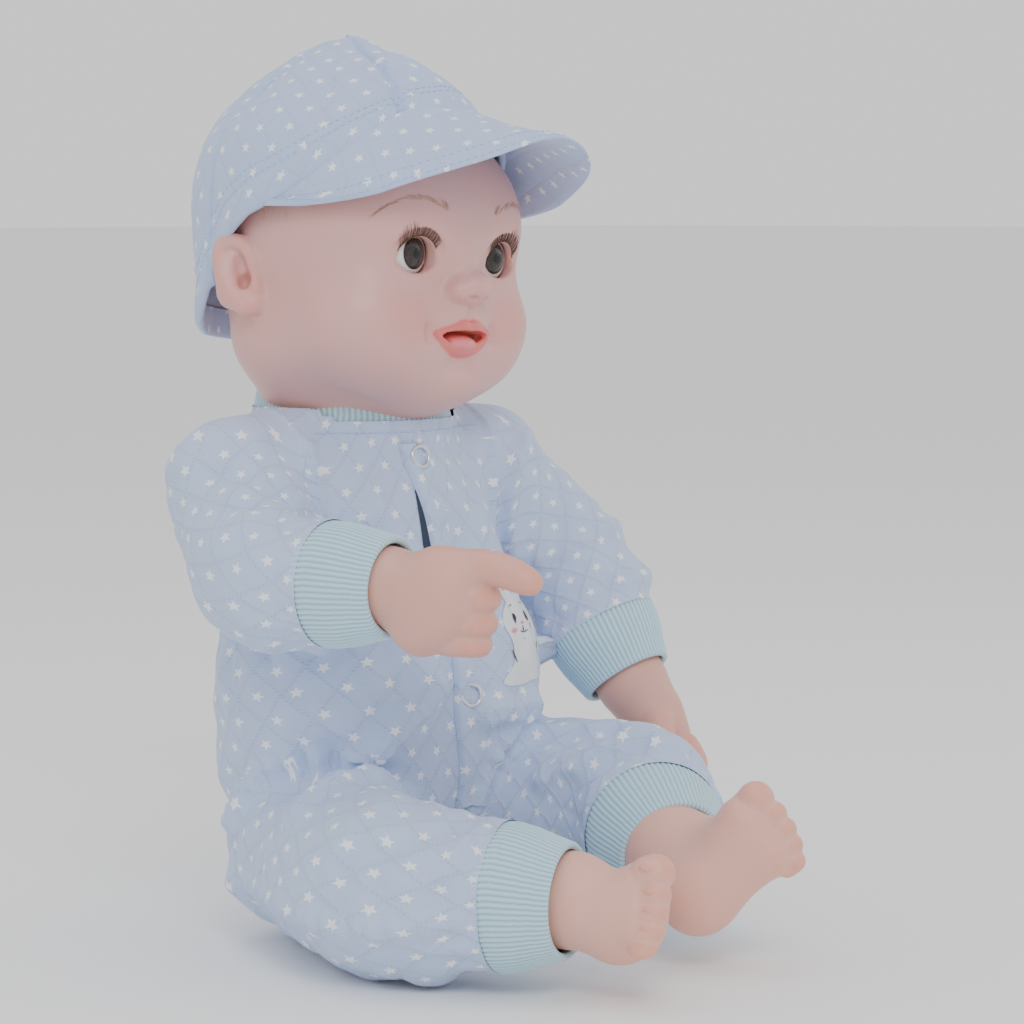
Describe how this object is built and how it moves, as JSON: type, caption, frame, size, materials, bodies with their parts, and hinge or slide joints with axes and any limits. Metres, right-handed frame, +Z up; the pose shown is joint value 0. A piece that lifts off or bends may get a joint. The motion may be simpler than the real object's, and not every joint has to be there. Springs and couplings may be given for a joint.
{
  "type": "interactive baby doll",
  "caption": "Seated vinyl baby doll with sleeping eyes, jointed neck, arms and legs, belly sound unit, quilted star romper with ribbed cuffs, and a peaked cap.",
  "frame": {"origin": "middle of the flat seat of the romper, under the torso", "axes": "+Z up, the doll faces -Y, its left side is +X"},
  "size_m": [0.2147, 0.2573, 0.3345],
  "materials": {
    "shell_plastic": "satin",
    "button_plastic": "glossy",
    "steel": "satin",
    "black_plastic": "matte",
    "board_green": "satin",
    "cell_wrap": "glossy",
    "wire_red": "satin",
    "romper_cloth": "quilted knit with small stars",
    "rib_knit": "rib knit",
    "snap_metal": "polished",
    "face_vinyl": "soft matte vinyl",
    "limb_vinyl": "soft matte vinyl",
    "eye_gloss": "clear gloss",
    "lash_fibre": "fine fibre",
    "cap_cloth": "quilted knit with small stars"
  },
  "bodies": {
    "torso": {"torso_front_shell": "shell_plastic", "torso_back_shell": "shell_plastic", "shell_screws": "steel", "speaker_frame": "black_plastic", "speaker_magnet": "steel", "speaker_cone": "black_plastic", "circuit_board": "board_green", "board_parts": "black_plastic", "board_screws": "steel", "belly_spring": "steel", "battery_tray": "shell_plastic", "battery_cells": "cell_wrap", "battery_contacts": "steel", "battery_door": "shell_plastic", "battery_door_screw": "steel", "switch_housing": "black_plastic", "speaker_lead": "wire_red", "battery_lead": "wire_red", "romper_front_right": "romper_cloth", "romper_front_left": "romper_cloth", "romper_back": "romper_cloth", "collar": "rib_knit", "snap_rings": "snap_metal"},
    "belly_button": {"belly_button": "button_plastic"},
    "power_switch": {"switch_slider": "black_plastic"},
    "head": {"neck_hub": "shell_plastic", "head_skin": "face_vinyl", "eye_frame": "shell_plastic"},
    "eyes": {"eyeball_right": "eye_gloss", "eyeball_left": "eye_gloss", "eye_axle": "steel", "eye_weight": "steel", "lashes_right": "lash_fibre", "lashes_left": "lash_fibre"},
    "cap": {"cap_crown": "cap_cloth", "cap_brim": "cap_cloth", "cap_hem": "cap_cloth"},
    "arm_right": {"arm_right": "limb_vinyl", "shoulder_hub_right": "shell_plastic", "sleeve_right": "romper_cloth", "wrist_cuff_right": "rib_knit"},
    "arm_left": {"arm_left": "limb_vinyl", "shoulder_hub_left": "shell_plastic", "sleeve_left": "romper_cloth", "wrist_cuff_left": "rib_knit"},
    "leg_right": {"leg_right": "limb_vinyl", "hip_hub_right": "shell_plastic", "trouser_right": "romper_cloth", "ankle_cuff_right": "rib_knit"},
    "leg_left": {"leg_left": "limb_vinyl", "hip_hub_left": "shell_plastic", "trouser_left": "romper_cloth", "ankle_cuff_left": "rib_knit"}
  },
  "joints": [
    {"name": "neck_turn", "type": "hinge", "parent": "torso", "child": "head", "pos_m": [0, 0.021, 0.186], "axis": [0, 0, 1], "range_deg": [-50, 40]},
    {"name": "eyes_roll", "type": "hinge", "parent": "head", "child": "eyes", "pos_m": [0.00482, -0.01769, 0.25199], "axis": [0.9912, 0.1217, -0.0523], "range_deg": [0, 55]},
    {"name": "cap_lift", "type": "slide", "parent": "head", "child": "cap", "axis": [0.0519, 0.0064, 0.9986], "range_m": [0, 0.1]},
    {"name": "shoulder_right", "type": "hinge", "parent": "torso", "child": "arm_right", "pos_m": [-0.0445, 0.01863, 0.17323], "axis": [1, 0, 0], "range_deg": [-55, 6]},
    {"name": "shoulder_left", "type": "hinge", "parent": "torso", "child": "arm_left", "pos_m": [0.0445, 0.01863, 0.17323], "axis": [1, 0, 0], "range_deg": [-130, 25]},
    {"name": "hip_right", "type": "hinge", "parent": "torso", "child": "leg_right", "pos_m": [-0.024, 0.004, 0.034], "axis": [1, 0, 0], "range_deg": [-10, 75]},
    {"name": "hip_left", "type": "hinge", "parent": "torso", "child": "leg_left", "pos_m": [0.024, 0.004, 0.034], "axis": [1, 0, 0], "range_deg": [-10, 75]},
    {"name": "belly_push", "type": "slide", "parent": "torso", "child": "belly_button", "axis": [0, 0.9945, -0.1045], "range_m": [0, 0.002], "stiffness_N_per_m": 400, "springref_m": -0.001, "deforming": ["belly_spring"]},
    {"name": "switch_slide", "type": "slide", "parent": "torso", "child": "power_switch", "axis": [1, 0, 0], "range_m": [0, 0.0034]}
  ]
}
